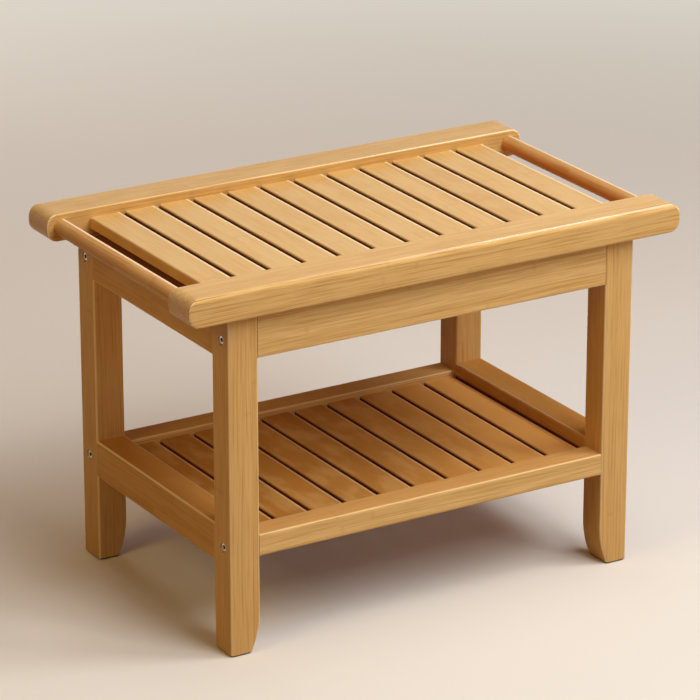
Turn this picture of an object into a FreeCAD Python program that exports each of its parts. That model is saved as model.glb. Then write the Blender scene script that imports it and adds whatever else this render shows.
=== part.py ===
import FreeCAD, Part
import math
import os
from FreeCAD import Vector

# Shower bench of laminated bamboo: a slatted seat between two rails, a grip bar at each end
# and a slatted shelf below.
# Lengths are millimetres. X runs along the bench, Y towards its back and Z up from the floor.

# Overall sizes
seat_height = 430.0  # floor to the top of the seat rails
frame_length = 524.0  # over the outer faces of the legs
frame_depth = 348.0  # over the front and back faces of the legs

# Legs and their feet
leg_section = 37.0
frame_edge_round = 3.0
foot_bow_height = 45.0
foot_bow_depth = 10.0
pad_thickness = 2.0
pad_inset = 1.5
pad_corner_round = 3.0

# Seat rails and grip bars
rail_width = 48.0
rail_height = 33.0
rail_front_overhang = 14.0
rail_end_overhang = 54.0
rail_end_round = 14.0
rail_end_round_limit_share = 0.45
rail_edge_round = 2.5
rail_crown_round = 6.0  # along the outer top edge
grip_diameter = 19.0
grip_setback = 18.0  # rail end to the axis of the grip
grip_seat_depth = 15.0

# Slats
slat_thickness = 14.0
slat_edge_round = 2.0
seat_slat_count = 12
seat_slat_gap = 6.0
seat_slat_lift = 8.0  # underside of the rail to underside of the slats
shelf_slat_count = 10
shelf_slat_gap = 5.0
shelf_slat_lift = 5.0
tongue_length = 9.0
tongue_shoulder = 3.0

# Aprons, shelf rails and side stretchers
apron_height = 53.0
apron_bolt_drop = 30.0  # top of the apron to the axis of its bolts
cross_rail_thickness = 32.0
cross_rail_setback = 1.0  # front face of the leg to front face of the apron
cross_rail_edge_round = 2.5
shelf_height = 139.0  # floor to the top of the shelf rails
shelf_rail_height = 26.0
stretcher_height = 45.0
stretcher_rise = 10.0  # top of the shelf rails to top of the stretchers

# Frame bolts and barrel nuts
bolt_diameter = 6.0
bolt_head_diameter = 10.0
bolt_head_height = 6.0
bolt_head_chamfer = 0.6
bolt_head_recess = 1.5
bolt_head_clearance = 1.0
socket_width = 5.0  # across the flats
socket_depth = 3.5
barrel_diameter = 10.0
barrel_length = 16.0

# Wooden pins
pin_diameter = 8.0
pin_depth_share = 0.33  # of the leg section, into each of the two pieces
side_pin_spread_share = 0.25  # of the side rail's height, each way from its middle
apron_pin_spread_share = 0.30
shelf_pin_offset_share = 0.30  # of the shelf rail's thickness, outwards from the bolt

# Seat screws
screw_diameter = 4.0
screw_head_diameter = 8.0
screw_head_height = 2.5
screw_grip = 20.0  # wood of the apron under the seat rail
screw_bite = 14.0  # into the seat rail
screw_step_pitches = 3  # slat pitches from one screw to the next

# Clearances and cuts
fit_clearance = 0.15  # on each side of a tongue, pin, bar, nut or screw
bolt_hole_clearance = 0.3
overrun = 1.0
plane_tolerance = 0.01

# Places that several pieces share
rail_bottom = seat_height - rail_height
leg_top = rail_bottom
leg_outer_x = frame_length / 2
leg_inner_x = leg_outer_x - leg_section
leg_middle_x = leg_outer_x - leg_section / 2
leg_outer_y = frame_depth / 2
leg_inner_y = leg_outer_y - leg_section
leg_middle_y = leg_outer_y - leg_section / 2
rail_outer_y = leg_outer_y + rail_front_overhang
rail_inner_y = rail_outer_y - rail_width
rail_end_x = leg_outer_x + rail_end_overhang
cross_rail_outer_y = leg_outer_y - cross_rail_setback
cross_rail_inner_y = cross_rail_outer_y - cross_rail_thickness
bolt_y = cross_rail_outer_y - cross_rail_thickness / 2
apron_bottom = leg_top - apron_height
apron_middle_z = leg_top - apron_height / 2
apron_bolt_z = leg_top - apron_bolt_drop
shelf_rail_bottom = shelf_height - shelf_rail_height
shelf_rail_middle_z = shelf_height - shelf_rail_height / 2
stretcher_top = shelf_height + stretcher_rise
stretcher_bottom = stretcher_top - stretcher_height
grip_x = rail_end_x - grip_setback
grip_z = rail_bottom + rail_height / 2
seat_slat_pitch = (frame_length + seat_slat_gap) / seat_slat_count
seat_slat_width = seat_slat_pitch - seat_slat_gap
seat_slat_bottom = rail_bottom + seat_slat_lift
shelf_slat_pitch = 2 * leg_inner_x / shelf_slat_count
shelf_slat_width = shelf_slat_pitch - shelf_slat_gap
shelf_slat_bottom = shelf_rail_bottom + shelf_slat_lift
barrel_x = leg_inner_x - shelf_slat_pitch  # under the gap between the first two shelf slats
bolt_seat_x = leg_outer_x - bolt_head_recess - bolt_head_height
pin_depth = leg_section * pin_depth_share
screw_places = [step * screw_step_pitches * seat_slat_pitch for step in (-1, 0, 1)]  # between slats

origin = Vector(0, 0, 0)
along = Vector(1, 0, 0)
back = Vector(0, 1, 0)
up = Vector(0, 0, 1)


def block(x_span, y_span, z_span):
    corner = Vector(x_span[0], y_span[0], z_span[0])
    return Part.makeBox(x_span[1] - x_span[0], y_span[1] - y_span[0], z_span[1] - z_span[0], corner)


def rod(diameter, start, direction, length):
    return Part.makeCylinder(diameter / 2, length, start, direction)


def other_end(shape):
    return shape.mirror(origin, along)


def other_side(shape):
    return shape.mirror(origin, back)


def at_four_corners(shape):
    pair = [shape, other_end(shape)]
    return pair + [other_side(one) for one in pair]


def edge_lies_at(edge, axis, place):
    box = edge.BoundBox
    low, high = {"x": (box.XMin, box.XMax), "y": (box.YMin, box.YMax), "z": (box.ZMin, box.ZMax)}[axis]
    return abs(low - place) < plane_tolerance and abs(high - place) < plane_tolerance


def edge_runs_along(edge, axis):
    box = edge.BoundBox
    spans = {"x": box.XLength, "y": box.YLength, "z": box.ZLength}
    return all(spans[other] < plane_tolerance for other in spans if other != axis)


def export(name, shape):
    shape.exportStep(os.path.join("parts", name + ".step"))


# Fasteners of the right back corner, and the holes that take them


def bolt(z):
    head_start = Vector(bolt_seat_x, bolt_y, z)
    head = rod(bolt_head_diameter, head_start, along, bolt_head_height)
    rim = [edge for edge in head.Edges if edge_lies_at(edge, "x", bolt_seat_x + bolt_head_height)]
    head = head.makeChamfer(bolt_head_chamfer, rim)
    shank_end = Vector(barrel_x - barrel_diameter / 2, bolt_y, z)
    shank = rod(bolt_diameter, shank_end, along, bolt_seat_x - shank_end.x)
    return head.fuse(shank).removeSplitter().cut(hex_socket(z))


def hex_socket(z):
    corner_radius = socket_width / math.sqrt(3)
    floor_x = bolt_seat_x + bolt_head_height - socket_depth
    middle = Vector(floor_x, bolt_y, z)
    turns = [math.pi * corner / 3 for corner in range(7)]
    points = [middle + (back * math.cos(turn) + up * math.sin(turn)) * corner_radius for turn in turns]
    return Part.Face(Part.makePolygon(points)).extrude(along * (socket_depth + overrun))


def bolt_hole(z):
    start = Vector(barrel_x - barrel_diameter / 2 - overrun, bolt_y, z)
    shank_hole = rod(bolt_diameter + 2 * bolt_hole_clearance, start, along, leg_outer_x - start.x)
    head_hole_diameter = bolt_head_diameter + 2 * bolt_head_clearance
    head_start = Vector(bolt_seat_x, bolt_y, z)
    head_hole = rod(head_hole_diameter, head_start, along, leg_outer_x - bolt_seat_x + overrun)
    return shank_hole.fuse(head_hole)


def barrel_nut(z, direction):
    start = Vector(barrel_x, bolt_y, z) - direction * (barrel_length / 2)
    barrel = rod(barrel_diameter, start, direction, barrel_length)
    thread_start = Vector(barrel_x - barrel_diameter, bolt_y, z)
    return barrel.cut(rod(bolt_diameter + 2 * fit_clearance, thread_start, along, 2 * barrel_diameter))


def barrel_hole(z, direction, depth):
    bottom = Vector(barrel_x, bolt_y, z) + direction * (barrel_length / 2)
    mouth = bottom - direction * (depth + overrun)
    return rod(barrel_diameter + 2 * fit_clearance, mouth, direction, depth + overrun)


def pin_and_hole(middle, direction, depth_before, depth_after):
    pin = rod(pin_diameter, middle - direction * depth_before, direction, depth_before + depth_after)
    hole_start = middle - direction * (depth_before + fit_clearance)
    hole_length = depth_before + depth_after + 2 * fit_clearance
    return pin, rod(pin_diameter + 2 * fit_clearance, hole_start, direction, hole_length)


def pin_row(places, direction, depth_before, depth_after):
    pairs = [pin_and_hole(place, direction, depth_before, depth_after) for place in places]
    return [pin for pin, hole in pairs], [hole for pin, hole in pairs]


def side_pin_places():
    places = []
    for bottom, height in ((apron_bottom, apron_height), (stretcher_bottom, stretcher_height)):
        for way in (-1, 1):
            z = bottom + height / 2 + way * side_pin_spread_share * height
            places.append(Vector(leg_middle_x, leg_inner_y, z))
    return places


def apron_pin_places():
    spread = apron_pin_spread_share * apron_height
    return [Vector(leg_inner_x, bolt_y, apron_middle_z + way * spread) for way in (-1, 1)]


def shelf_pin_places():
    offset = shelf_pin_offset_share * cross_rail_thickness
    return [Vector(leg_inner_x, bolt_y + offset, shelf_rail_middle_z)]


def seat_screw(x):
    seat = Vector(x, bolt_y, leg_top - screw_grip)
    head = rod(screw_head_diameter, seat - up * screw_head_height, up, screw_head_height)
    shank = rod(screw_diameter, seat, up, screw_grip + screw_bite - screw_diameter)
    point_start = seat + up * (screw_grip + screw_bite - screw_diameter)
    point = Part.makeCone(screw_diameter / 2, 0, screw_diameter, point_start, up)
    return head.fuse([shank, point]).removeSplitter()


def screw_hole(x):
    seat = Vector(x, bolt_y, leg_top - screw_grip)
    well_start = Vector(x, bolt_y, apron_bottom - overrun)
    well = rod(screw_head_diameter + 2 * bolt_hole_clearance, well_start, up, seat.z - well_start.z)
    shank_hole = rod(screw_diameter + 2 * fit_clearance, seat, up, screw_grip + screw_bite + fit_clearance)
    return well.fuse(shank_hole)


# Side frame: two legs, an apron and a stretcher, glued up flush and rounded over as one


def leg_blank():
    bow_radius = (foot_bow_height**2 + foot_bow_depth**2) / (2 * foot_bow_depth)
    half_turn = math.asin(foot_bow_height / bow_radius) / 2
    bow_top = Vector(leg_inner_x, leg_inner_y, pad_thickness + foot_bow_height)
    bow_centre = bow_top + along * bow_radius
    bow_middle = bow_centre - (along * math.cos(half_turn) + up * math.sin(half_turn)) * bow_radius
    bow_foot = Vector(leg_inner_x + foot_bow_depth, leg_inner_y, pad_thickness)
    outer_foot = Vector(leg_outer_x, leg_inner_y, pad_thickness)
    outer_top = Vector(leg_outer_x, leg_inner_y, leg_top)
    inner_top = Vector(leg_inner_x, leg_inner_y, leg_top)
    outline = [
        Part.Arc(bow_top, bow_middle, bow_foot).toShape(),
        Part.makeLine(bow_foot, outer_foot),
        Part.makeLine(outer_foot, outer_top),
        Part.makeLine(outer_top, inner_top),
        Part.makeLine(inner_top, bow_top),
    ]
    return Part.Face(Part.Wire(outline)).extrude(back * leg_section)


def side_frame_blank():
    x_span = (leg_inner_x, leg_outer_x)
    y_span = (-leg_inner_y, leg_inner_y)
    back_leg = leg_blank()
    apron = block(x_span, y_span, (apron_bottom, leg_top))
    stretcher = block(x_span, y_span, (stretcher_bottom, stretcher_top))
    blank = back_leg.fuse([other_side(back_leg), apron, stretcher]).removeSplitter()
    rounded = [edge for edge in blank.Edges if is_rounded_frame_edge(edge)]
    return blank.makeFillet(frame_edge_round, rounded)


def is_rounded_frame_edge(edge):
    if edge_lies_at(edge, "z", leg_top) or edge_lies_at(edge, "z", pad_thickness):
        return False
    on_face = edge_lies_at(edge, "x", leg_outer_x) or edge_lies_at(edge, "x", leg_inner_x)
    return on_face or isinstance(edge.Curve, Part.Circle)


def side_frame_pieces():
    blank = side_frame_blank()
    x_span = (leg_inner_x - overrun, leg_outer_x + overrun)
    rail_span = (-leg_inner_y, leg_inner_y)
    leg = blank.common(block(x_span, (leg_inner_y, leg_outer_y + overrun), (0, leg_top)))
    apron = blank.common(block(x_span, rail_span, (apron_bottom - overrun, leg_top)))
    stretcher_span = (stretcher_bottom - overrun, stretcher_top + overrun)
    stretcher = blank.common(block(x_span, rail_span, stretcher_span))
    side_holes = pin_row(side_pin_places(), back, pin_depth, pin_depth)[1]
    leg_holes = side_holes + [bolt_hole(apron_bolt_z), bolt_hole(shelf_rail_middle_z)]
    leg_holes += pin_row(apron_pin_places() + shelf_pin_places(), along, pin_depth, pin_depth)[1]
    leg_holes += leg_top_pin()[1]
    rail_holes = side_holes + [other_side(hole) for hole in side_holes]
    return leg.cut(leg_holes), apron.cut(rail_holes), stretcher.cut(rail_holes)


def leg_top_pin():
    return pin_row([Vector(leg_middle_x, leg_middle_y, leg_top)], up, pin_depth, seat_slat_lift)


def foot_pad():
    x_span = (leg_inner_x + foot_bow_depth + pad_inset, leg_outer_x - pad_inset)
    y_span = (leg_inner_y + pad_inset, leg_outer_y - pad_inset)
    pad = block(x_span, y_span, (0, pad_thickness))
    return pad.makeFillet(pad_corner_round, [edge for edge in pad.Edges if edge_runs_along(edge, "z")])


# Seat


def seat_rail():
    end_round = min(rail_end_round, rail_height * rail_end_round_limit_share)
    rail = block((-rail_end_x, rail_end_x), (rail_inner_y, rail_outer_y), (rail_bottom, seat_height))
    rail = rail.makeFillet(end_round, [edge for edge in rail.Edges if edge_runs_along(edge, "y")])
    faces_y = (rail_inner_y, rail_outer_y)
    rims = [edge for edge in rail.Edges if any(edge_lies_at(edge, "y", face_y) for face_y in faces_y)]
    rail = rail.makeFillet(rail_edge_round, rims)
    holes = [crown_cutter()] + seat_mortises() + leg_top_pin()[1] + other_end_of_all(leg_top_pin()[1])
    holes += [screw_hole(x) for x in screw_places]
    holes += [grip_bore(), other_end(grip_bore())]
    return rail.cut(holes)


def other_end_of_all(shapes):
    return [other_end(shape) for shape in shapes]


def crown_cutter():
    corner = rail_crown_round + overrun
    length_span = (-rail_end_x - overrun, rail_end_x + overrun)
    edge_y = rail_outer_y - rail_crown_round
    edge_z = seat_height - rail_crown_round
    stock = block(length_span, (edge_y, edge_y + corner), (edge_z, edge_z + corner))
    axis_start = Vector(length_span[0], edge_y, edge_z)
    return stock.cut(rod(2 * rail_crown_round, axis_start, along, length_span[1] - length_span[0]))


def grip_bore():
    start = Vector(grip_x, rail_inner_y - overrun, grip_z)
    return rod(grip_diameter + 2 * fit_clearance, start, back, grip_seat_depth + fit_clearance + overrun)


def grip_bar():
    half_length = rail_inner_y + grip_seat_depth
    return rod(grip_diameter, Vector(grip_x, -half_length, grip_z), back, 2 * half_length)


# Slats with a tongue at each end, and the mortises that take the tongues


def slat(x, width, bottom, half_span):
    body = block((x - width / 2, x + width / 2), (-half_span, half_span), (bottom, bottom + slat_thickness))
    body = body.makeFillet(slat_edge_round, [edge for edge in body.Edges if edge_runs_along(edge, "y")])
    reach = half_span + tongue_length
    return body.fuse(tongue(x, width, bottom, (-reach, reach), 0)).removeSplitter()


def tongue(x, width, bottom, y_span, clearance):
    half_width = width / 2 - tongue_shoulder + clearance
    z_span = (bottom + tongue_shoulder - clearance, bottom + slat_thickness - tongue_shoulder + clearance)
    return block((x - half_width, x + half_width), y_span, z_span)


def seat_slat_places():
    first = -leg_outer_x + seat_slat_width / 2
    return [first + number * seat_slat_pitch for number in range(seat_slat_count)]


def shelf_slat_places():
    first = -leg_inner_x + shelf_slat_pitch / 2
    return [first + number * shelf_slat_pitch for number in range(shelf_slat_count)]


def mortises(places, width, bottom, face_y):
    y_span = (face_y - overrun, face_y + tongue_length + fit_clearance)
    return [tongue(x, width, bottom, y_span, fit_clearance) for x in places]


def seat_mortises():
    return mortises(seat_slat_places(), seat_slat_width, seat_slat_bottom, rail_inner_y)


def shelf_mortises():
    return mortises(shelf_slat_places(), shelf_slat_width, shelf_slat_bottom, cross_rail_inner_y)


# Aprons and shelf rails, bolted between the side frames


def cross_rail(bottom, height, rounded_heights):
    y_span = (cross_rail_inner_y, cross_rail_outer_y)
    rail = block((-leg_inner_x, leg_inner_x), y_span, (bottom, bottom + height))
    edges = [edge for edge in rail.Edges if edge_runs_along(edge, "x")]
    rounded = [edge for edge in edges if any(edge_lies_at(edge, "z", z) for z in rounded_heights)]
    return rail.makeFillet(cross_rail_edge_round, rounded)


def apron():
    rail = cross_rail(apron_bottom, apron_height, [apron_bottom])
    depth = bolt_y + barrel_length / 2 - cross_rail_inner_y
    corner_holes = [bolt_hole(apron_bolt_z), barrel_hole(apron_bolt_z, back, depth)]
    corner_holes += pin_row(apron_pin_places(), along, pin_depth, pin_depth)[1]
    return rail.cut(corner_holes + other_end_of_all(corner_holes) + [screw_hole(x) for x in screw_places])


def shelf_rail():
    rail = cross_rail(shelf_rail_bottom, shelf_rail_height, [shelf_rail_bottom, shelf_height])
    depth = shelf_rail_middle_z + barrel_length / 2 - shelf_rail_bottom
    corner_holes = [bolt_hole(shelf_rail_middle_z), barrel_hole(shelf_rail_middle_z, up, depth)]
    corner_holes += pin_row(shelf_pin_places(), along, pin_depth, pin_depth)[1]
    return rail.cut(corner_holes + other_end_of_all(corner_holes) + shelf_mortises())


# Export of the pieces


def export_side_frames():
    leg, side_apron, stretcher = side_frame_pieces()
    export("leg_back_right", leg)
    export("leg_front_right", other_side(leg))
    export("leg_back_left", other_end(leg))
    export("leg_front_left", other_end(other_side(leg)))
    export("side_apron_right", side_apron)
    export("side_apron_left", other_end(side_apron))
    export("side_stretcher_right", stretcher)
    export("side_stretcher_left", other_end(stretcher))
    corners = ("back_right", "back_left", "front_right", "front_left")
    for corner, pad in zip(corners, at_four_corners(foot_pad())):
        export("foot_pad_" + corner, pad)


def export_front_and_back(name, shape):
    export(name + "_back", shape)
    export(name + "_front", other_side(shape))


def export_slats():
    for number, x in enumerate(seat_slat_places(), start=1):
        export(f"seat_slat_{number:02d}", slat(x, seat_slat_width, seat_slat_bottom, rail_inner_y))
    for number, x in enumerate(shelf_slat_places(), start=1):
        export(f"shelf_slat_{number:02d}", slat(x, shelf_slat_width, shelf_slat_bottom, cross_rail_inner_y))


def export_group(name, shapes):
    copies = [copy for shape in shapes for copy in at_four_corners(shape)]
    export(name, Part.makeCompound(copies))


def export_fasteners():
    export_group("frame_bolts", [bolt(apron_bolt_z), bolt(shelf_rail_middle_z)])
    export_group("barrel_nuts", [barrel_nut(apron_bolt_z, back), barrel_nut(shelf_rail_middle_z, up)])
    export_group("side_frame_pins", pin_row(side_pin_places(), back, pin_depth, pin_depth)[0])
    export_group("apron_pins", pin_row(apron_pin_places(), along, pin_depth, pin_depth)[0])
    export_group("shelf_rail_pins", pin_row(shelf_pin_places(), along, pin_depth, pin_depth)[0])
    export_group("leg_top_pins", leg_top_pin()[0])
    back_screws = [seat_screw(x) for x in screw_places]
    export("seat_screws", Part.makeCompound(back_screws + [other_side(screw) for screw in back_screws]))


def main():
    os.makedirs("parts", exist_ok=True)
    export_side_frames()
    export_front_and_back("seat_rail", seat_rail())
    export_front_and_back("apron", apron())
    export_front_and_back("shelf_rail", shelf_rail())
    export("grip_bar_right", grip_bar())
    export("grip_bar_left", other_end(grip_bar()))
    export_slats()
    export_fasteners()


main()
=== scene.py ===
import math

import bpy
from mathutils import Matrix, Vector


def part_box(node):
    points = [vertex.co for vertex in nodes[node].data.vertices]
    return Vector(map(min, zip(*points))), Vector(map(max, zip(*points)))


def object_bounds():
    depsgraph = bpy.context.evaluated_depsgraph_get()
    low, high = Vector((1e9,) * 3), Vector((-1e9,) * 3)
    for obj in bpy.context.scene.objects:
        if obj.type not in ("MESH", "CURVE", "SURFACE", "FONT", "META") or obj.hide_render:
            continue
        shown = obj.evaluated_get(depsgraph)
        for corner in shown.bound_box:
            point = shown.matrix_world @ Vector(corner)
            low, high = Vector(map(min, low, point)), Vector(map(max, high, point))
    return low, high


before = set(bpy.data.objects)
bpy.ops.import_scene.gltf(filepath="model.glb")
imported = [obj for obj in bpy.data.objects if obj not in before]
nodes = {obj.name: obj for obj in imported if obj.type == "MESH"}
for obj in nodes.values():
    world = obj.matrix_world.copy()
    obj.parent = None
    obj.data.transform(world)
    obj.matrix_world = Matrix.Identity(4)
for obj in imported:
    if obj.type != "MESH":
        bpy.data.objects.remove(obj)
cadLow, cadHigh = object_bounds()
scene = bpy.context.scene
millimetre = 0.001
perMetre = 1 / millimetre  # object coordinates are metres, patterns are written in millimetres
print("frame loaded:", len(nodes), "nodes")


# shared helpers

def linear(hexColour):
    parts = [int(hexColour[i:i + 2], 16) / 255 for i in (1, 3, 5)]
    return (*[p / 12.92 if p <= 0.04045 else ((p + 0.055) / 1.055) ** 2.4 for p in parts], 1.0)


def addNode(tree, kind, inputs, **settings):
    node = tree.nodes.new(kind)
    for name, value in settings.items():
        setattr(node, name, value)
    for socket, value in inputs.items():
        if isinstance(value, bpy.types.NodeSocket):
            tree.links.new(value, node.inputs[socket])
        else:
            node.inputs[socket].default_value = value
    return node


def newMaterial(name):
    material = bpy.data.materials.new(name)
    material.use_nodes = True
    tree = material.node_tree
    tree.nodes.clear()
    shader = addNode(tree, "ShaderNodeBsdfPrincipled", {})
    addNode(tree, "ShaderNodeOutputMaterial", {"Surface": shader.outputs["BSDF"]})
    return material, tree, shader


def finishNodes(material, names):
    for name in names:
        for slot in nodes[name].material_slots:
            slot.material = material


def named(*starts):
    return sorted(name for name in nodes if name.startswith(starts))


# laminated bamboo

bamboo = {  # colours of the layers over the boards' own tone
    "line": "#A86C28",
    "fibre": "#BA8944",
    "mottle": "#E2BC7C",
    "nodeMark": "#8A5828",
    "glue": "#9C6A34",
    "endGrain": "#9A6832",
    # painted highlight on rounded edges
    "paintedEdgeHighlight": "#F9DFAE",
    # painted highlight along the slats' top edges
    "paintedHighlight": "#FCE2B6",
    # painted highlight along the grips' tops
    "paintedGripHighlight": "#FDE6C4",
    "crownLine": "#9A6024",
    # painted shade in the slots and gaps
    "slot": "#64290C",
    # painted shade on the side aprons' tops
    "dampTop": "#5C160A",
    # painted shade on the flat tops round the shelf
    "flatTopShade": "#C08442",
    # painted shade on the grips' seat side and underside
    "warmShade": "#EA8A3C",
    # painted light on the shelf's right half
    "paintedShelfLight": "#ECB062",
}

cane = {  # millimetres, except where a note says otherwise
    "stripWidth": 20,  # a strip lies flat in the board
    "stripThickness": 9,
    "boardKey": (17.3, 5.1, 31.7),  # no unit: keeps the strips of two boards from being alike
    "boardReach": (900, 300, 300),  # the stretch of cane that boards and strips are picked from
    "stripReach": (900, 90, 90),
    "waveLength": 220,  # how the grain wanders
    "waveDepth": 2.0,
    "waveDetail": 2.0,  # no unit
    "linePitch": 3.6,  # from one brown grain line to the next
    "lineSlope": 0.7,  # lines through the thickness, as a share of those across the width
    "lineDrift": 3.0,  # how far a line strays, in pitches
    "noises": {  # length along the grain, width across it, and detail
        "drift": (420, 24, 1.0),
        "dash": (90, 6, 2.0),  # how far a line runs before it fades
        "fibre": (55, 1.2, 3.0),  # real bundles are 0.4 mm wide, drawn wider so that they show
        "mottle": (52, 26, 3.0),
    },
    "bands": {  # no unit: where each noise starts to show, and where it is full
        "ripple": (0.2, 1.0),
        "dash": (0.40, 0.62),
        "fibre": (0.40, 0.70),
        "mottle": (0.42, 0.66),
    },
    "nodeSpacing": 290,
    "nodeThickness": 4.0,  # where the dark line of a node has faded, from its middle
    "nodeCore": 0.3,  # where it is still full
    "nodeWobble": 6.0,  # how far it strays along the grain
    "glueThickness": 0.6,  # 0.2 mm on the real board, drawn wider so that it shows
    "bundleSpacing": 0.9,  # dots on the end grain
    "bundleCore": 0.25,  # shares of the spacing
    "bundleEdge": 0.6,
    "bundleGround": 0.35,  # how much of the dots' colour lies between them, as a share
    "endStart": 0.6,  # how far a face leans before it counts as end grain, as a cosine
    "endFull": 0.95,
}

satin = {
    "ior": 1.5,
    "fibreRange": (0.3, 0.7),  # as the fibre noise goes from the first to the second,
    "roughness": (0.36, 0.50),  # so does the roughness
    "coatRoughness": 0.22,
    "bumpStrength": 0.12,
    "bumpDepth": 0.4,  # millimetres
    "glueGroove": -0.5,  # depth of a glue line, in heights of a fibre
}

grainTurns = {  # turns each grain direction to X
    "x": (0, 0, 0),
    "y": (0, 0, math.radians(-90)),
    "z": (0, math.radians(90), 0),
}


def stripsOfCane(tree, place, point, look):
    # each strip of each board gets its own random tone and its own stretch of cane
    board = addNode(tree, "ShaderNodeMapping", {
        "Vector": place.outputs["Object"],
        "Location": look["boardShift"],
        "Scale": look["boardsPerMetre"],
    })
    boardCell = addNode(tree, "ShaderNodeVectorMath", {0: board.outputs[0]}, operation="FLOOR")
    strips = addNode(tree, "ShaderNodeVectorMath", {
        0: point.outputs[0],
        1: (0, 1 / cane["stripWidth"], 1 / cane["stripThickness"]),
    }, operation="MULTIPLY")
    stripCell = addNode(tree, "ShaderNodeVectorMath", {0: strips.outputs[0]}, operation="FLOOR")
    key = addNode(tree, "ShaderNodeVectorMath", {
        0: boardCell.outputs[0],
        1: cane["boardKey"],
        2: stripCell.outputs[0],
    }, operation="MULTIPLY_ADD")
    stripRandom = addNode(tree, "ShaderNodeTexWhiteNoise", {"Vector": key.outputs[0]})
    boardRandom = addNode(tree, "ShaderNodeTexWhiteNoise", {"Vector": boardCell.outputs[0]})
    stripPoint = addNode(tree, "ShaderNodeVectorMath", {
        0: stripRandom.outputs["Color"],
        1: cane["stripReach"],
        2: point.outputs[0],
    }, operation="MULTIPLY_ADD")
    boardPoint = addNode(tree, "ShaderNodeVectorMath", {
        0: boardRandom.outputs["Color"],
        1: cane["boardReach"],
        2: point.outputs[0],
    }, operation="MULTIPLY_ADD")
    tone = addNode(tree, "ShaderNodeMix", {
        0: look["stripShare"],
        2: boardRandom.outputs["Value"],
        3: stripRandom.outputs["Value"],
    })
    return board, strips, boardPoint, stripPoint, tone


def grainMasks(tree, point):
    # wandering grain: long thin lines that fade in and out, fine fibre streaks, soft clouds
    wave = addNode(tree, "ShaderNodeTexNoise", {
        "Vector": point.outputs[0],
        "Scale": 1 / cane["waveLength"],
        "Detail": cane["waveDetail"],
    })
    bent = addNode(tree, "ShaderNodeVectorMath", {
        0: wave.outputs["Color"],
        1: (0, 2 * cane["waveDepth"], 2 * cane["waveDepth"]),
        2: point.outputs[0],
    }, operation="MULTIPLY_ADD")
    noises = {}
    for name, (length, width, detail) in cane["noises"].items():
        stretched = addNode(tree, "ShaderNodeVectorMath", {
            0: bent.outputs[0],
            1: (1 / length, 1 / width, 1 / width),
        }, operation="MULTIPLY")
        noises[name] = addNode(tree, "ShaderNodeTexNoise", {
            "Vector": stretched.outputs[0],
            "Scale": 1.0,
            "Detail": detail,
        })
    turn = 2 * math.pi
    across = addNode(tree, "ShaderNodeVectorMath", {
        0: bent.outputs[0],
        1: (0, turn / cane["linePitch"], cane["lineSlope"] * turn / cane["linePitch"]),
    }, operation="DOT_PRODUCT")
    phase = addNode(tree, "ShaderNodeMath", {
        0: noises["drift"].outputs["Fac"],
        1: turn * cane["lineDrift"],
        2: across.outputs["Value"],
    }, operation="MULTIPLY_ADD")
    noises["ripple"] = addNode(tree, "ShaderNodeMath", {0: phase.outputs[0]}, operation="SINE")
    bands = {}
    for name, (low, high) in cane["bands"].items():
        bands[name] = addNode(tree, "ShaderNodeMapRange", {
            "Value": noises[name].outputs[0],
            "From Min": low,
            "From Max": high,
        }, interpolation_type="SMOOTHSTEP")
    line = addNode(tree, "ShaderNodeMath", {
        0: bands["ripple"].outputs[0],
        1: bands["dash"].outputs[0],
    }, operation="MULTIPLY")
    return {"line": line, "fibre": bands["fibre"], "mottle": bands["mottle"]}, noises["fibre"]


def nodeMarkMask(tree, point, fibre):
    # a cane's node: a thin dark line across the strip, once per length of cane
    along = addNode(tree, "ShaderNodeSeparateXYZ", {"Vector": point.outputs[0]})
    wavy = addNode(tree, "ShaderNodeMath", {
        0: fibre.outputs["Fac"],
        1: cane["nodeWobble"],
        2: along.outputs["X"],
    }, operation="MULTIPLY_ADD")
    ring = addNode(tree, "ShaderNodeMath", {
        0: wavy.outputs[0],
        1: cane["nodeSpacing"],
    }, operation="PINGPONG")
    return addNode(tree, "ShaderNodeMapRange", {
        "Value": ring.outputs[0],
        "From Min": cane["nodeCore"],
        "From Max": cane["nodeThickness"],
        "To Min": 1.0,
        "To Max": 0.0,
    }, interpolation_type="SMOOTHSTEP")


def glueLineMask(tree, strips):
    # thin lines between the strips
    part = addNode(tree, "ShaderNodeVectorMath", {0: strips.outputs[0]}, operation="FRACTION")
    axes = addNode(tree, "ShaderNodeSeparateXYZ", {"Vector": part.outputs[0]})
    masks = []
    for axis, size in (("Y", cane["stripWidth"]), ("Z", cane["stripThickness"])):
        toEdge = addNode(tree, "ShaderNodeMath", {0: axes.outputs[axis], 1: 0.5}, operation="PINGPONG")
        masks.append(addNode(tree, "ShaderNodeMapRange", {
            "Value": toEdge.outputs[0],
            "From Min": 0.0,
            "From Max": cane["glueThickness"] / size,
            "To Min": 1.0,
            "To Max": 0.0,
        }))
    return addNode(tree, "ShaderNodeMath", {
        0: masks[0].outputs[0],
        1: masks[1].outputs[0],
    }, operation="MAXIMUM")


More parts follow.
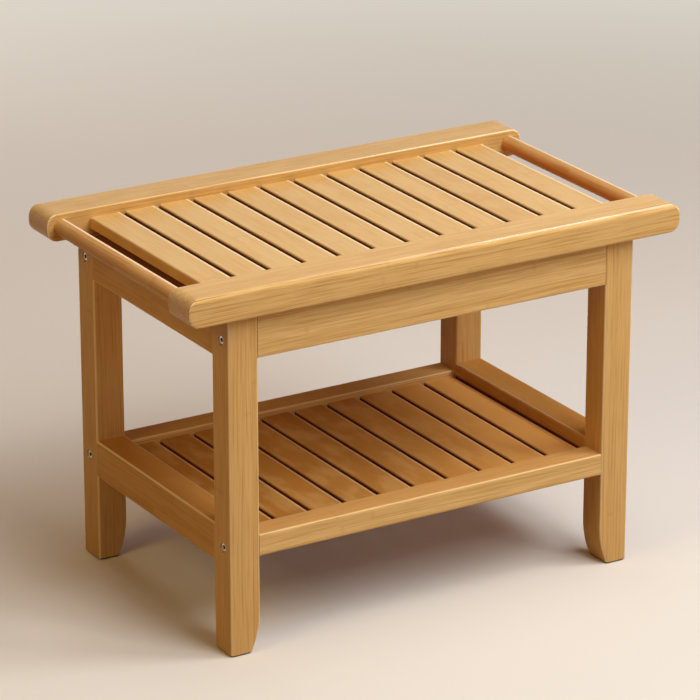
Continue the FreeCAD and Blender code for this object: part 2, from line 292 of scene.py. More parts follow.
def edgeAndEndMasks(tree, place, point, look):
    # a normal between the axes is a rounded edge, drawn pale as a painted highlight
    # a normal along the grain is end grain, dotted with bundles
    normal = addNode(tree, "ShaderNodeVectorMath", {0: place.outputs["Normal"]}, operation="ABSOLUTE")
    axes = addNode(tree, "ShaderNodeSeparateXYZ", {"Vector": normal.outputs[0]})
    side = addNode(tree, "ShaderNodeMath", {
        0: axes.outputs["X"],
        1: axes.outputs["Y"],
    }, operation="MAXIMUM")
    facing = addNode(tree, "ShaderNodeMath", {
        0: side.outputs[0],
        1: axes.outputs["Z"],
    }, operation="MAXIMUM")
    edge = addNode(tree, "ShaderNodeMapRange", {
        "Value": facing.outputs[0],
        "From Min": look["edgeFull"],
        "From Max": look["edgeStart"],
        "To Min": 1.0,
        "To Max": 0.0,
    })
    bundles = addNode(tree, "ShaderNodeTexVoronoi", {
        "Vector": point.outputs[0],
        "Scale": 1 / cane["bundleSpacing"],
    })
    dots = addNode(tree, "ShaderNodeMapRange", {
        "Value": bundles.outputs["Distance"],
        "From Min": cane["bundleCore"],
        "From Max": cane["bundleEdge"],
        "To Min": 1.0,
        "To Max": cane["bundleGround"],
    })
    end = addNode(tree, "ShaderNodeMapRange", {
        "Value": axes.outputs[look["grain"].upper()],
        "From Min": cane["endStart"],
        "From Max": cane["endFull"],
    })
    dotted = addNode(tree, "ShaderNodeMath", {
        0: end.outputs[0],
        1: dots.outputs[0],
    }, operation="MULTIPLY")
    return edge, dotted


slats = {
    "highlightFull": 3.4,  # painted highlight along the top's edges, millimetres in from the side
    "highlightStart": 5.0,
    "leftHighlight": 0.1,  # the left edge's strip, as a share of the right edge's
    "middleFade": 0.1,  # where left turns to right, as a share of the pitch
    "slotStart": 0.5,  # painted shade on the sides, from this many millimetres below the top
    "slotFull": 3.6,
    "outerSide": 2.0,  # the outermost sides, this far in, get no painted shade
    "undersideLean": -0.7,  # a face that looks further down than this is the underside
}


def slatMasks(tree, place, board, look):
    # a painted highlight along the long edges of a slat's top, most on the right
    # its sides are bare of lacquer and get painted shade in the slots
    part = addNode(tree, "ShaderNodeVectorMath", {0: board.outputs[0]}, operation="FRACTION")
    across = addNode(tree, "ShaderNodeSeparateXYZ", {"Vector": part.outputs[0]})
    offMiddle = addNode(tree, "ShaderNodeMath", {0: across.outputs["X"], 1: 0.5}, operation="SUBTRACT")
    reach = addNode(tree, "ShaderNodeMath", {0: offMiddle.outputs[0]}, operation="ABSOLUTE")
    strip = addNode(tree, "ShaderNodeMapRange", {
        "Value": reach.outputs[0],
        "From Min": look["slatShare"] - slats["highlightStart"] * millimetre / look["pitch"],
        "From Max": look["slatShare"] - slats["highlightFull"] * millimetre / look["pitch"],
    }, interpolation_type="SMOOTHSTEP")
    onRight = addNode(tree, "ShaderNodeMapRange", {
        "Value": offMiddle.outputs[0],
        "From Min": -slats["middleFade"],
        "From Max": slats["middleFade"],
        "To Min": slats["leftHighlight"],
    })
    paintedHighlight = addNode(tree, "ShaderNodeMath", {
        0: strip.outputs[0],
        1: onRight.outputs[0],
    }, operation="MULTIPLY")
    spot = addNode(tree, "ShaderNodeSeparateXYZ", {"Vector": place.outputs["Object"]})
    deep = addNode(tree, "ShaderNodeMapRange", {
        "Value": spot.outputs["Z"],
        "From Min": look["slatTop"] - slats["slotFull"] * millimetre,
        "From Max": look["slatTop"] - slats["slotStart"] * millimetre,
        "To Min": 1.0,
        "To Max": 0.0,
    }, interpolation_type="SMOOTHSTEP")
    fromMiddle = addNode(tree, "ShaderNodeMath", {0: spot.outputs["X"]}, operation="ABSOLUTE")
    inside = addNode(tree, "ShaderNodeMapRange", {
        "Value": fromMiddle.outputs[0],
        "From Min": look["outerEdge"] - slats["outerSide"] * millimetre,
        "From Max": look["outerEdge"] - slats["outerSide"] * millimetre / 2,
        "To Min": 1.0,
        "To Max": 0.0,
    })
    normal = addNode(tree, "ShaderNodeSeparateXYZ", {"Vector": place.outputs["Normal"]})
    upward = addNode(tree, "ShaderNodeMath", {
        0: normal.outputs["Z"],
        1: slats["undersideLean"],
    }, operation="GREATER_THAN")
    side = addNode(tree, "ShaderNodeMath", {
        0: deep.outputs[0],
        1: upward.outputs[0],
    }, operation="MULTIPLY")
    slot = addNode(tree, "ShaderNodeMath", {
        0: side.outputs[0],
        1: inside.outputs[0],
    }, operation="MULTIPLY")
    return paintedHighlight, slot, side


def shelfLightMask(tree, place, look):
    # painted light: the shelf is drawn paler from its middle towards its right end
    spot = addNode(tree, "ShaderNodeSeparateXYZ", {"Vector": place.outputs["Object"]})
    return addNode(tree, "ShaderNodeMapRange", {
        "Value": spot.outputs["X"],
        "From Min": 0.0,
        "From Max": look["outerEdge"],
    })


seatRails = {
    "innerBand": 6,  # the inner edge lies within this many millimetres of the inner face
    "rimLean": 0.15,  # how far a face leans before it counts as the rim of an end
    "rightRimStart": 0.08,  # how far a rim has to look to the right to get the painted highlight all over
    "rightRimFull": 0.2,
    "innerHighlightLeft": 0.3,  # painted highlight of the inner edges at the left and right ends, as a share of the rims'
    "innerHighlightRight": 1.0,
}


def seatRailHighlightMask(tree, place, edge, look):
    # a painted highlight on the seat rails' inner edges and the rims of the ends, not the crown,
    # stronger towards the right end
    spot = addNode(tree, "ShaderNodeSeparateXYZ", {"Vector": place.outputs["Object"]})
    fromMiddle = addNode(tree, "ShaderNodeMath", {0: spot.outputs["Y"]}, operation="ABSOLUTE")
    inner = addNode(tree, "ShaderNodeMath", {
        0: fromMiddle.outputs[0],
        1: look["innerEdge"] + seatRails["innerBand"] * millimetre,
    }, operation="LESS_THAN")
    normal = addNode(tree, "ShaderNodeVectorMath", {0: place.outputs["Normal"]}, operation="ABSOLUTE")
    axes = addNode(tree, "ShaderNodeSeparateXYZ", {"Vector": normal.outputs[0]})
    slant = addNode(tree, "ShaderNodeMath", {
        0: axes.outputs["X"],
        1: axes.outputs["Y"],
    }, operation="MINIMUM")
    rim = addNode(tree, "ShaderNodeMath", {
        0: slant.outputs[0],
        1: seatRails["rimLean"],
    }, operation="GREATER_THAN")
    flat = addNode(tree, "ShaderNodeMath", {
        0: axes.outputs["X"],
        1: seatRails["rimLean"],
    }, operation="LESS_THAN")
    straight = addNode(tree, "ShaderNodeMath", {
        0: inner.outputs[0],
        1: flat.outputs[0],
    }, operation="MULTIPLY")
    highlightShare = addNode(tree, "ShaderNodeMapRange", {
        "Value": spot.outputs["X"],
        "From Min": -look["railEnd"],
        "From Max": look["railEnd"],
        "To Min": seatRails["innerHighlightLeft"],
        "To Max": seatRails["innerHighlightRight"],
    })
    weak = addNode(tree, "ShaderNodeMath", {
        0: straight.outputs[0],
        1: highlightShare.outputs[0],
    }, operation="MULTIPLY")
    either = addNode(tree, "ShaderNodeMath", {
        0: weak.outputs[0],
        1: rim.outputs[0],
    }, operation="MAXIMUM")
    paintedHighlight = addNode(tree, "ShaderNodeMath", {
        0: edge.outputs[0],
        1: either.outputs[0],
    }, operation="MULTIPLY")
    lean = addNode(tree, "ShaderNodeSeparateXYZ", {"Vector": place.outputs["Normal"]})
    toRight = addNode(tree, "ShaderNodeMapRange", {
        "Value": lean.outputs["X"],
        "From Min": seatRails["rightRimStart"],
        "From Max": seatRails["rightRimFull"],
    })
    rightRim = addNode(tree, "ShaderNodeMath", {
        0: toRight.outputs[0],
        1: rim.outputs[0],
    }, operation="MULTIPLY")
    return addNode(tree, "ShaderNodeMath", {
        0: paintedHighlight.outputs[0],
        1: rightRim.outputs[0],
    }, operation="MAXIMUM")


sideFrames = {
    "inwardStart": -0.10,  # metres from the middle, times how far a face looks away from it
    "inwardFull": -0.14,
    "jointLean": -0.05,  # the same along the bench, where legs meet an apron
    "gapLean": -0.1,  # and for the inner faces of the stretchers
    "shadedEdgeHighlight": 0.15,  # as a share of the other edges' painted highlight
    "gapDrop": 2.0,  # millimetres from the top of the shelf's end slat to the dark line's middle
    "gapDark": 2.4,
    "gapEnd": 4.0,
    "apronShadeFull": 8,  # millimetres from the top of a side apron
    "apronShadeEnd": 14,
}


def shadedEdgeHighlightMask(tree, place, edge, look):
    # edges that face the inside of the bench or meet an apron lie in shade and get little of the painted
    # highlight
    flatSpot = addNode(tree, "ShaderNodeVectorMath", {
        0: place.outputs["Object"],
        1: (1, 1, 0),
    }, operation="MULTIPLY")
    facing = addNode(tree, "ShaderNodeVectorMath", {
        0: flatSpot.outputs[0],
        1: place.outputs["Normal"],
    }, operation="DOT_PRODUCT")
    inward = addNode(tree, "ShaderNodeMapRange", {
        "Value": facing.outputs["Value"],
        "From Min": sideFrames["inwardFull"],
        "From Max": sideFrames["inwardStart"],
        "To Min": 1.0,
        "To Max": 0.0,
    })
    spot = addNode(tree, "ShaderNodeSeparateXYZ", {"Vector": place.outputs["Object"]})
    normal = addNode(tree, "ShaderNodeSeparateXYZ", {"Vector": place.outputs["Normal"]})
    outward = addNode(tree, "ShaderNodeMath", {
        0: spot.outputs["X"],
        1: normal.outputs["X"],
    }, operation="MULTIPLY")
    toMiddle = addNode(tree, "ShaderNodeMath", {
        0: outward.outputs[0],
        1: sideFrames["jointLean"],
    }, operation="LESS_THAN")
    high = addNode(tree, "ShaderNodeMath", {
        0: spot.outputs["Z"],
        1: look["jointBottom"],
    }, operation="GREATER_THAN")
    joint = addNode(tree, "ShaderNodeMath", {
        0: toMiddle.outputs[0],
        1: high.outputs[0],
    }, operation="MULTIPLY")
    shaded = addNode(tree, "ShaderNodeMath", {
        0: inward.outputs[0],
        1: joint.outputs[0],
    }, operation="MAXIMUM")
    highlightShare = addNode(tree, "ShaderNodeMapRange", {
        "Value": shaded.outputs[0],
        "To Min": 1.0,
        "To Max": sideFrames["shadedEdgeHighlight"],
    })
    return addNode(tree, "ShaderNodeMath", {
        0: edge.outputs[0],
        1: highlightShare.outputs[0],
    }, operation="MULTIPLY")


def dampTopMask(tree, place, look):
    # painted shade along the top of a side apron, just under the seat's edge and the grip
    spot = addNode(tree, "ShaderNodeSeparateXYZ", {"Vector": place.outputs["Object"]})
    return addNode(tree, "ShaderNodeMapRange", {
        "Value": spot.outputs["Z"],
        "From Min": look["apronTop"] - sideFrames["apronShadeEnd"] * millimetre,
        "From Max": look["apronTop"] - sideFrames["apronShadeFull"] * millimetre,
    }, interpolation_type="SMOOTHSTEP")


def gapLineMask(tree, place, look):
    # painted shade: a dark line on a stretcher's inner face, in the gap beside the end slat of the shelf
    spot = addNode(tree, "ShaderNodeSeparateXYZ", {"Vector": place.outputs["Object"]})
    offLine = addNode(tree, "ShaderNodeMath", {
        0: spot.outputs["Z"],
        1: look["endSlatTop"] - sideFrames["gapDrop"] * millimetre,
    }, operation="SUBTRACT")
    reach = addNode(tree, "ShaderNodeMath", {0: offLine.outputs[0]}, operation="ABSOLUTE")
    line = addNode(tree, "ShaderNodeMapRange", {
        "Value": reach.outputs[0],
        "From Min": sideFrames["gapDark"] * millimetre,
        "From Max": sideFrames["gapEnd"] * millimetre,
        "To Min": 1.0,
        "To Max": 0.0,
    })
    normal = addNode(tree, "ShaderNodeSeparateXYZ", {"Vector": place.outputs["Normal"]})
    outward = addNode(tree, "ShaderNodeMath", {
        0: spot.outputs["X"],
        1: normal.outputs["X"],
    }, operation="MULTIPLY")
    inner = addNode(tree, "ShaderNodeMath", {
        0: outward.outputs[0],
        1: sideFrames["gapLean"],
    }, operation="LESS_THAN")
    return addNode(tree, "ShaderNodeMath", {
        0: line.outputs[0],
        1: inner.outputs[0],
    }, operation="MULTIPLY")


flatTops = {"start": 0.93, "full": 0.99}  # how straight up a face looks, as a cosine


def flatTopShadeMask(tree, place):
    # painted shade makes the flat tops round the shelf as deep in tone as the shelf, and they are bare
    # of lacquer
    normal = addNode(tree, "ShaderNodeSeparateXYZ", {"Vector": place.outputs["Normal"]})
    return addNode(tree, "ShaderNodeMapRange", {
        "Value": normal.outputs["Z"],
        "From Min": flatTops["start"],
        "From Max": flatTops["full"],
    })


grips = {
    "highlightDirection": (0.34, 0, 0.94),  # up and a little to the right
    "highlightLeanStart": 0.94,  # how closely a face looks that way, as a cosine
    "highlightLeanFull": 0.985,
    "warmRise": 0.5,  # how much the red side turns downwards
    "warmStart": -0.3,
    "warmFull": -1.0,
}


def gripHighlightMask(tree, place):
    # a painted highlight: a thin pale line along the top of a grip
    upward = addNode(tree, "ShaderNodeVectorMath", {
        0: place.outputs["Normal"],
        1: grips["highlightDirection"],
    }, operation="DOT_PRODUCT")
    return addNode(tree, "ShaderNodeMapRange", {
        "Value": upward.outputs["Value"],
        "From Min": grips["highlightLeanStart"],
        "From Max": grips["highlightLeanFull"],
    })


def warmShadeMask(tree, place):
    # painted shade: the side of a grip that faces the seat, and its underside, is drawn redder
    spot = addNode(tree, "ShaderNodeSeparateXYZ", {"Vector": place.outputs["Object"]})
    end = addNode(tree, "ShaderNodeMath", {0: spot.outputs["X"]}, operation="SIGN")
    normal = addNode(tree, "ShaderNodeSeparateXYZ", {"Vector": place.outputs["Normal"]})
    outward = addNode(tree, "ShaderNodeMath", {
        0: end.outputs[0],
        1: normal.outputs["X"],
    }, operation="MULTIPLY")
    lean = addNode(tree, "ShaderNodeMath", {
        0: normal.outputs["Z"],
        1: grips["warmRise"],
        2: outward.outputs[0],
    }, operation="MULTIPLY_ADD")
    return addNode(tree, "ShaderNodeMapRange", {
        "Value": lean.outputs[0],
        "From Min": grips["warmFull"],
        "From Max": grips["warmStart"],
        "To Min": 1.0,
        "To Max": 0.0,
    })


def laminatedBamboo(name, look):
    # strips of cane pressed into boards, planed and lacquered satin
    # warm straw brown with a soft shine, streaked along the grain
    material, tree, shader = newMaterial(name)
    place = addNode(tree, "ShaderNodeTexCoord", {})
    point = addNode(tree, "ShaderNodeMapping", {
        "Vector": place.outputs["Object"],
        "Rotation": grainTurns[look["grain"]],
        "Scale": (perMetre, perMetre, perMetre),
    })
    board, strips, boardPoint, stripPoint, tone = stripsOfCane(tree, place, point, look)
    # each mask paints the layer of its name over those before it
    masks, fibre = grainMasks(tree, boardPoint)
    masks["nodeMark"] = nodeMarkMask(tree, stripPoint, fibre)
    masks["glue"] = glueLineMask(tree, strips)
    edge, masks["endGrain"] = edgeAndEndMasks(tree, place, point, look)
    masks["paintedEdgeHighlight"] = edge
    bare = None
    if "innerEdge" in look:
        masks["paintedEdgeHighlight"] = seatRailHighlightMask(tree, place, edge, look)
        masks["crownLine"] = addNode(tree, "ShaderNodeMath", {
            0: masks["line"].outputs[0],
            1: edge.outputs[0],
        }, operation="MULTIPLY")
    if "jointBottom" in look:
        masks["paintedEdgeHighlight"] = shadedEdgeHighlightMask(tree, place, edge, look)
    if "apronTop" in look:
        masks["dampTop"] = dampTopMask(tree, place, look)
        masks["slot"] = gapLineMask(tree, place, look)
    if "paintedGripHighlight" in look:
        masks["warmShade"] = warmShadeMask(tree, place)
        masks["paintedGripHighlight"] = gripHighlightMask(tree, place)
    if "paintedShelfLight" in look:
        masks["paintedShelfLight"] = shelfLightMask(tree, place, look)
    if "flatTopShade" in look:
        bare = masks["flatTopShade"] = flatTopShadeMask(tree, place)
    if "slatShare" in look:
        masks["paintedHighlight"], masks["slot"], bare = slatMasks(tree, place, board, look)

    colour = addNode(tree, "ShaderNodeMix", {
        0: tone.outputs[0],
        6: linear(look["pale"]),
        7: linear(look["deep"]),
    }, data_type="RGBA")
    for layer, mask in masks.items():
        share = addNode(tree, "ShaderNodeMath", {
            0: mask.outputs[0],
            1: look[layer],
        }, operation="MULTIPLY")
        colour = addNode(tree, "ShaderNodeMix", {
            0: share.outputs[0],
            6: colour.outputs[2],
            7: linear(bamboo[layer]),
        }, data_type="RGBA")
    tree.links.new(colour.outputs[2], shader.inputs["Base Color"])

    gloss = addNode(tree, "ShaderNodeMapRange", {
        "Value": fibre.outputs["Fac"],
        "From Min": satin["fibreRange"][0],
        "From Max": satin["fibreRange"][1],
        "To Min": satin["roughness"][0],
        "To Max": satin["roughness"][1],
    })
    tree.links.new(gloss.outputs[0], shader.inputs["Roughness"])
    grooves = addNode(tree, "ShaderNodeMath", {
        0: masks["glue"].outputs[0],
        1: satin["glueGroove"],
        2: fibre.outputs["Fac"],
    }, operation="MULTIPLY_ADD")
    bump = addNode(tree, "ShaderNodeBump", {
        "Height": grooves.outputs[0],
        "Strength": satin["bumpStrength"],
        "Distance": satin["bumpDepth"] * millimetre,
    })
    tree.links.new(bump.outputs[0], shader.inputs["Normal"])
    shader.inputs["IOR"].default_value = satin["ior"]
    shader.inputs["Coat Roughness"].default_value = satin["coatRoughness"]
    for socket, level in (("Specular IOR Level", look["shine"]), ("Coat Weight", look["lacquer"])):
        shader.inputs[socket].default_value = level
        if bare and level:  # no lacquer is left on the slats' sides and the low flat tops
            remaining = addNode(tree, "ShaderNodeMapRange", {
                "Value": bare.outputs[0],
                "To Min": level,
                "To Max": 0.0,
            })
            tree.links.new(remaining.outputs[0], shader.inputs[socket])
    return material


def slatBoards(first, second):
    # one board for each slat, and the slats' own measures
    pitch = (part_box(second)[0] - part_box(first)[0]).x
    width = (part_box(first)[1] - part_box(first)[0]).x
    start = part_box(first)[0].x - (pitch - width) / 2
    return {
        "boardsPerMetre": (1 / pitch, 0, 0),
        "boardShift": (-start / pitch, 0, 0),
        "pitch": pitch,
        "slatShare": width / pitch / 2,
        "slatTop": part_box(first)[1].z,
        "outerEdge": abs(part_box(first)[0].x),
    }


eachSide = {"boardsPerMetre": (1, 1, 0), "boardShift": (0, 0, 0)}  # one board on each side of the middle
frontAndBack = {"boardsPerMetre": (0, 1, 4), "boardShift": (0, 0, 0)}  # front and back, at each height
boardLook = {  # how strongly each layer shows, as a share
    "pale": "#EAC17E",  # the boards' own tone lies between these two
    "deep": "#D7A964",
    "stripShare": 0.6,  # how much of that tone is the strip's, the rest is the board's
    "line": 0.35,
    "fibre": 0.32,
    "mottle": 0.25,
    "nodeMark": 0.10,
    "glue": 0.06,
    "paintedEdgeHighlight": 0.7,
    "edgeStart": 0.98,  # how far a normal leans before an edge gets the painted highlight, as a cosine
    "edgeFull": 0.86,
    "endGrain": 0.45,
    "shine": 0.15,  # rubbed down, except where the seat is lacquered twice
    "lacquer": 0.0,
}
twoCoats = {"pale": "#E8BF79", "deep": "#D4A761", "shine": 0.25, "lacquer": 0.35}
slatLook = {
    **boardLook, "grain": "y", "line": 0.18, "fibre": 0.30, "mottle": 0.55, "glue": 0.03,
    "paintedEdgeHighlight": 0.1, "paintedHighlight": 0.9, "slot": 0.95,
}
crossLook = {
    **boardLook, **frontAndBack, "grain": "x", "pale": "#F3CE8D", "deep": "#E1B671",
    "line": 0.30, "fibre": 0.42, "paintedEdgeHighlight": 1.0, "shine": 0.1,
}
bambooLooks = {
    "bamboo_legs": {
        **boardLook, **eachSide, "grain": "z", "paintedEdgeHighlight": 0.9, "shine": 0.12,
        "jointBottom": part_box("apron_front")[0].z,
        "parts": named("leg_back", "leg_front"),
    },
    "bamboo_side_rails": {
        **boardLook, **eachSide, "grain": "y", "pale": "#E0B068", "deep": "#CC9850",
        "paintedEdgeHighlight": 0.9, "shine": 0.08, "dampTop": 0.85, "slot": 0.9, "flatTopShade": 0.6,
        "jointBottom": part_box("apron_front")[0].z,
        "apronTop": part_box("side_apron_left")[1].z,
        "endSlatTop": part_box("shelf_slat_01")[1].z,
        "parts": named("side_apron", "side_stretcher"),
    },
    "bamboo_seat_rails": {
        **boardLook, **twoCoats, **frontAndBack, "grain": "x", "line": 0.42, "fibre": 0.55,
        "crownLine": 0.5, "paintedEdgeHighlight": 1.0, "edgeStart": 0.93, "edgeFull": 0.80, "endGrain": 0.36,
        "innerEdge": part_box("seat_rail_back")[0].y,
        "railEnd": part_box("seat_rail_back")[1].x,
        "parts": named("seat_rail"),
    },
    "bamboo_aprons": {**crossLook, "parts": ["apron_front", "apron_back"]},
    "bamboo_shelf_rails": {
        **crossLook, "flatTopShade": 0.55, "edgeStart": 0.86, "edgeFull": 0.76, "shine": 0.0,
        "parts": named("shelf_rail_front", "shelf_rail_back"),
    },
    "bamboo_seat_slats": {
        **slatLook, **twoCoats, **slatBoards("seat_slat_01", "seat_slat_02"),
        "parts": named("seat_slat"),
    },
    # the shelf slats' tone is drawn deeper than the seat slats': painted shade from the seat above
    "bamboo_shelf_slats": {
        **slatLook, **slatBoards("shelf_slat_01", "shelf_slat_02"), "pale": "#BF8744", "deep": "#AC7435",
        "mottle": 0.3, "paintedHighlight": 0.25, "paintedShelfLight": 0.9, "shine": 0.0,
        "parts": named("shelf_slat"),
    },
    "bamboo_grips": {
        **boardLook, **eachSide, "grain": "y", "pale": "#DBA96C", "deep": "#C48C50", "line": 0.55,
        "paintedEdgeHighlight": 0.0, "paintedGripHighlight": 1.0, "warmShade": 0.65, "shine": 0.07, "lacquer": 0.05,
        "parts": named("grip_bar"),
    },
}
for name, look in bambooLooks.items():
    finishNodes(laminatedBamboo(name, look), look["parts"])
print("bamboo done")


# beech pins, zinc-plated steel and rubber pads

beech = {
    "pale": "#D9B58A",
    "deep": "#C29A6B",
    "fleck": "#9A6E44",
    "fleckLength": 3.0,  # millimetres
    "fleckWidth": 0.5,
    "fleckDetail": 2.0,
    "fleckStart": 0.6,  # where the noise starts to show a fleck, and where it is full
    "fleckFull": 0.7,
    "fleckShare": 0.6,
    "roughness": 0.6,
}


def beechPin(name):
    # turned beech: pale pinkish brown with short darker flecks
    material, tree, shader = newMaterial(name)
    place = addNode(tree, "ShaderNodeTexCoord", {})
    along, across = perMetre / beech["fleckLength"], perMetre / beech["fleckWidth"]
    stretched = addNode(tree, "ShaderNodeMapping", {
        "Vector": place.outputs["Object"],
        "Scale": (along, across, across),
    })
    fleck = addNode(tree, "ShaderNodeTexNoise", {
        "Vector": stretched.outputs[0],
        "Scale": 1.0,
        "Detail": beech["fleckDetail"],
    })
    tone = addNode(tree, "ShaderNodeMix", {
        0: fleck.outputs["Fac"],
        6: linear(beech["pale"]),
        7: linear(beech["deep"]),
    }, data_type="RGBA")
    dark = addNode(tree, "ShaderNodeMapRange", {
        "Value": fleck.outputs["Fac"],
        "From Min": beech["fleckStart"],
        "From Max": beech["fleckFull"],
        "To Max": beech["fleckShare"],
    })
    colour = addNode(tree, "ShaderNodeMix", {
        0: dark.outputs[0],
        6: tone.outputs[2],
        7: linear(beech["fleck"]),
    }, data_type="RGBA")
    tree.links.new(colour.outputs[2], shader.inputs["Base Color"])
    shader.inputs["Roughness"].default_value = beech["roughness"]
    return material


zinc = {
    "bright": "#FFFEFA",
    "dull": "#E2E0DB",
    # painted shade in the sockets
    "socket": "#3A352F",
    "cloudSize": 2.5,  # millimetres
    "cloudDetail": 3.0,
    "roughness": (0.25, 0.45),
    "socketStart": 0.7,  # millimetres below a bolt head's face
    "socketFull": 1.2,
}


def zincSteel(name, faceReach=None):
    # zinc-plated steel: a bright grey shine, slightly clouded; painted shade makes the sockets and sides
    # of bolt heads nearly black
    material, tree, shader = newMaterial(name)
    place = addNode(tree, "ShaderNodeTexCoord", {})
    cloud = addNode(tree, "ShaderNodeTexNoise", {
        "Vector": place.outputs["Object"],
        "Scale": perMetre / zinc["cloudSize"],
        "Detail": zinc["cloudDetail"],
    })
    colour = addNode(tree, "ShaderNodeMix", {
        0: cloud.outputs["Fac"],
        6: linear(zinc["bright"]),
        7: linear(zinc["dull"]),
    }, data_type="RGBA")
    gloss = addNode(tree, "ShaderNodeMapRange", {
        "Value": cloud.outputs["Fac"],
        "To Min": zinc["roughness"][0],
        "To Max": zinc["roughness"][1],
    })
    # painted shade: all that lies sunk below a head's face is drawn nearly black
    if faceReach:
        spot = addNode(tree, "ShaderNodeSeparateXYZ", {"Vector": place.outputs["Object"]})
        reach = addNode(tree, "ShaderNodeMath", {0: spot.outputs["X"]}, operation="ABSOLUTE")
        sunk = addNode(tree, "ShaderNodeMapRange", {
            "Value": reach.outputs[0],
            "From Min": faceReach - zinc["socketFull"] * millimetre,
            "From Max": faceReach - zinc["socketStart"] * millimetre,
            "To Min": 1.0,
            "To Max": 0.0,
        })
        colour = addNode(tree, "ShaderNodeMix", {
            0: sunk.outputs[0],
            6: colour.outputs[2],
            7: linear(zinc["socket"]),
        }, data_type="RGBA")
    tree.links.new(colour.outputs[2], shader.inputs["Base Color"])
    tree.links.new(gloss.outputs[0], shader.inputs["Roughness"])
    shader.inputs["Metallic"].default_value = 1.0
    return material


rubber = {
    "dark": "#2B2622",
    "light": "#3B352F",
    "gritSize": 0.8,  # millimetres
    "gritDetail": 2.0,
    "bumpStrength": 0.3,
    "bumpDepth": 0.2,  # millimetres
    "roughness": 0.75,
}


def padRubber(name):
    # dark moulded rubber: matt, finely grained
    material, tree, shader = newMaterial(name)
    place = addNode(tree, "ShaderNodeTexCoord", {})
    grit = addNode(tree, "ShaderNodeTexNoise", {
        "Vector": place.outputs["Object"],
        "Scale": perMetre / rubber["gritSize"],
        "Detail": rubber["gritDetail"],
    })
    tone = addNode(tree, "ShaderNodeMix", {
        0: grit.outputs["Fac"],
        6: linear(rubber["dark"]),
        7: linear(rubber["light"]),
    }, data_type="RGBA")
    bump = addNode(tree, "ShaderNodeBump", {
        "Height": grit.outputs["Fac"],
        "Strength": rubber["bumpStrength"],
        "Distance": rubber["bumpDepth"] * millimetre,
    })
    tree.links.new(tone.outputs[2], shader.inputs["Base Color"])
    tree.links.new(bump.outputs[0], shader.inputs["Normal"])
    shader.inputs["Roughness"].default_value = rubber["roughness"]
    return material


finishNodes(beechPin("beech_pins"), ["side_frame_pins", "apron_pins", "shelf_rail_pins", "leg_top_pins"])
finishNodes(zincSteel("bolt_zinc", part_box("frame_bolts")[1].x), ["frame_bolts"])
finishNodes(zincSteel("screw_zinc"), ["barrel_nuts", "seat_screws"])
finishNodes(padRubber("pad_rubber"), named("foot_pad"))
print("pins, metal and pads done")


# floor, light and camera

stage = {
    "floorSize": 60,
    "floor": "#F1EFEB",
    "backdrop": "#E0DACE",
    "bounce": "#A8937B",  # what the floor throws back on the bench
    "fadeStart": 0.9,  # the lit floor fades into the plain backdrop, metres from the middle
    "fadeEnd": 3.0,
    "fill": "#FF9A78",
    "fillLevel": 0.09,
}


def seenRays(tree):
    # rays that show the floor or backdrop, straight or in a shine
    path = addNode(tree, "ShaderNodeLightPath", {})
    glossy = addNode(tree, "ShaderNodeMath", {
        0: path.outputs["Is Glossy Ray"],
        1: path.outputs["Is Transmission Ray"],
    }, operation="MAXIMUM")
    return addNode(tree, "ShaderNodeMath", {
        0: path.outputs["Is Camera Ray"],
        1: glossy.outputs[0],
    }, operation="MAXIMUM")


def paleFloor():
    bpy.ops.object.select_all(action="DESELECT")
    bpy.ops.mesh.primitive_plane_add(size=stage["floorSize"])
    floor = bpy.context.object
    floor.name = "floor"
    material = bpy.data.materials.new("pale_floor")
    material.use_nodes = True
    tree = material.node_tree
    tree.nodes.clear()
    seen = seenRays(tree)
    tint = addNode(tree, "ShaderNodeMix", {
        0: seen.outputs[0],
        6: linear(stage["bounce"]),
        7: linear(stage["floor"]),
    }, data_type="RGBA")
    matt = addNode(tree, "ShaderNodeBsdfDiffuse", {"Color": tint.outputs[2]})
    plain = addNode(tree, "ShaderNodeEmission", {"Color": linear(stage["backdrop"])})
    place = addNode(tree, "ShaderNodeTexCoord", {})
    reach = addNode(tree, "ShaderNodeVectorMath", {0: place.outputs["Object"]}, operation="LENGTH")
    fade = addNode(tree, "ShaderNodeMapRange", {
        "Value": reach.outputs["Value"],
        "From Min": stage["fadeStart"],
        "From Max": stage["fadeEnd"],
    }, interpolation_type="SMOOTHSTEP")
    far = addNode(tree, "ShaderNodeMath", {0: fade.outputs[0], 1: seen.outputs[0]}, operation="MULTIPLY")
    mixed = addNode(tree, "ShaderNodeMixShader", {
        0: far.outputs[0],
        1: matt.outputs[0],
        2: plain.outputs[0],
    })
    addNode(tree, "ShaderNodeOutputMaterial", {"Surface": mixed.outputs[0]})
    floor.data.materials.append(material)


def softWorld():
    world = bpy.data.worlds.new("studio")
    scene.world = world
    world.use_nodes = True
    tree = world.node_tree
    tree.nodes.clear()
    seen = seenRays(tree)
    tint = addNode(tree, "ShaderNodeMix", {
        0: seen.outputs[0],
        6: linear(stage["fill"]),
        7: linear(stage["backdrop"]),
    }, data_type="RGBA")
    level = addNode(tree, "ShaderNodeMapRange", {
        "Value": seen.outputs[0],
        "To Min": stage["fillLevel"],
        "To Max": 1.0,
    })
    background = addNode(tree, "ShaderNodeBackground", {
        "Color": tint.outputs[2],
        "Strength": level.outputs[0],
    })
    addNode(tree, "ShaderNodeOutputWorld", {"Surface": background.outputs[0]})


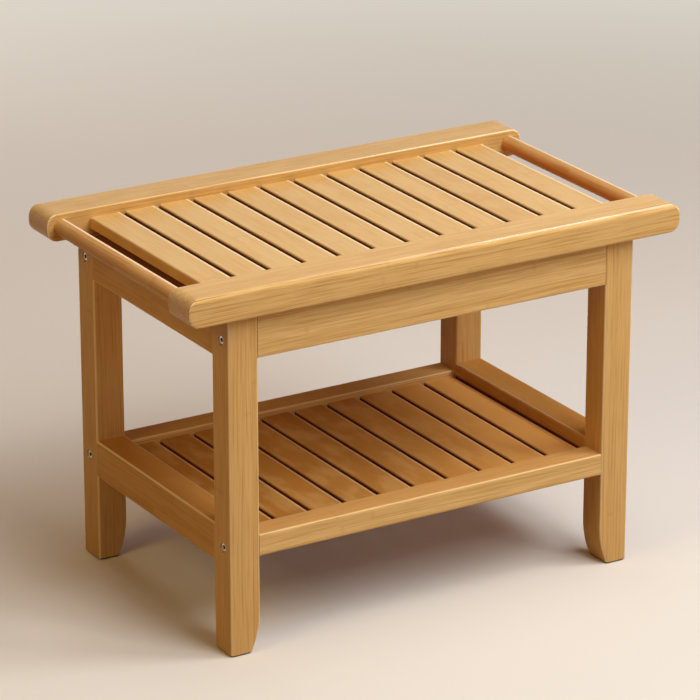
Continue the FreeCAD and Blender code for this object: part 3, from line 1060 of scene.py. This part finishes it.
lamps = {  # metres and watts
    "keyLamp": {"place": (1.31, -0.95, 2.19), "size": 0.75, "power": 22, "colour": "#FFFDF8"},
    "topLamp": {"place": (0.2, -0.2, 3.0), "size": 1.5, "power": 18, "colour": "#FFFDF8"},
    "frontLamp": {"place": (0.55, -2.1, 2.4), "size": 1.4, "power": 40, "colour": "#FFFDF8"},
    "lowLamp": {"place": (0.4, -3.0, 0.8), "size": 1.2, "power": 8, "colour": "#FFFDF8"},
    "leftLamp": {"place": (-2.6, -0.6, 2.1), "size": 1.2, "power": 17, "colour": "#FFDC84"},
    "backLamp": {"place": (0.2, 3.0, 0.9), "size": 1.2, "power": 12, "colour": "#FFF0DC"},
}
shinePanel = {"place": (1.0, 0.2, 1.7), "size": 0.7, "power": 28, "colour": "#E6F0FF"}


def softLamp(name, lamp, aim, shines):
    # a lamp either lights the bench or only leaves highlights on it
    place = Vector(lamp["place"])
    bpy.ops.object.light_add(type="AREA", location=place)
    light = bpy.context.object
    light.name = name
    light.rotation_euler = (aim - place).to_track_quat("-Z", "Y").to_euler()
    light.visible_camera = False
    light.visible_glossy = shines
    light.visible_diffuse = not shines
    light.data.shape = "SQUARE"
    light.data.size = lamp["size"]
    light.data.energy = lamp["power"]
    light.data.color = linear(lamp["colour"])[:3]


def softLamps():
    middle = (cadLow + cadHigh) / 2
    for name, lamp in lamps.items():
        softLamp(name, lamp, middle, False)
    acrossBench = Vector((0, *shinePanel["place"][1:]))  # the panel stands upright at the right
    softLamp("shinePanel", shinePanel, acrossBench, True)


camera = {
    "place": (-2.20839, -3.66242, 1.86713),
    "aim": (0.0022, 0.01378, 0.24932),
    "lens": 206.19,
    "sensor": 36.0,
}


def photoCamera():
    place = Vector(camera["place"])
    bpy.ops.object.camera_add(location=place)
    viewer = bpy.context.object
    viewer.rotation_euler = (Vector(camera["aim"]) - place).to_track_quat("-Z", "Y").to_euler()
    viewer.data.lens = camera["lens"]
    viewer.data.sensor_width = camera["sensor"]
    scene.camera = viewer


paleFloor()
softWorld()
softLamps()
photoCamera()
scene.view_settings.view_transform = "Standard"
print("stage done")
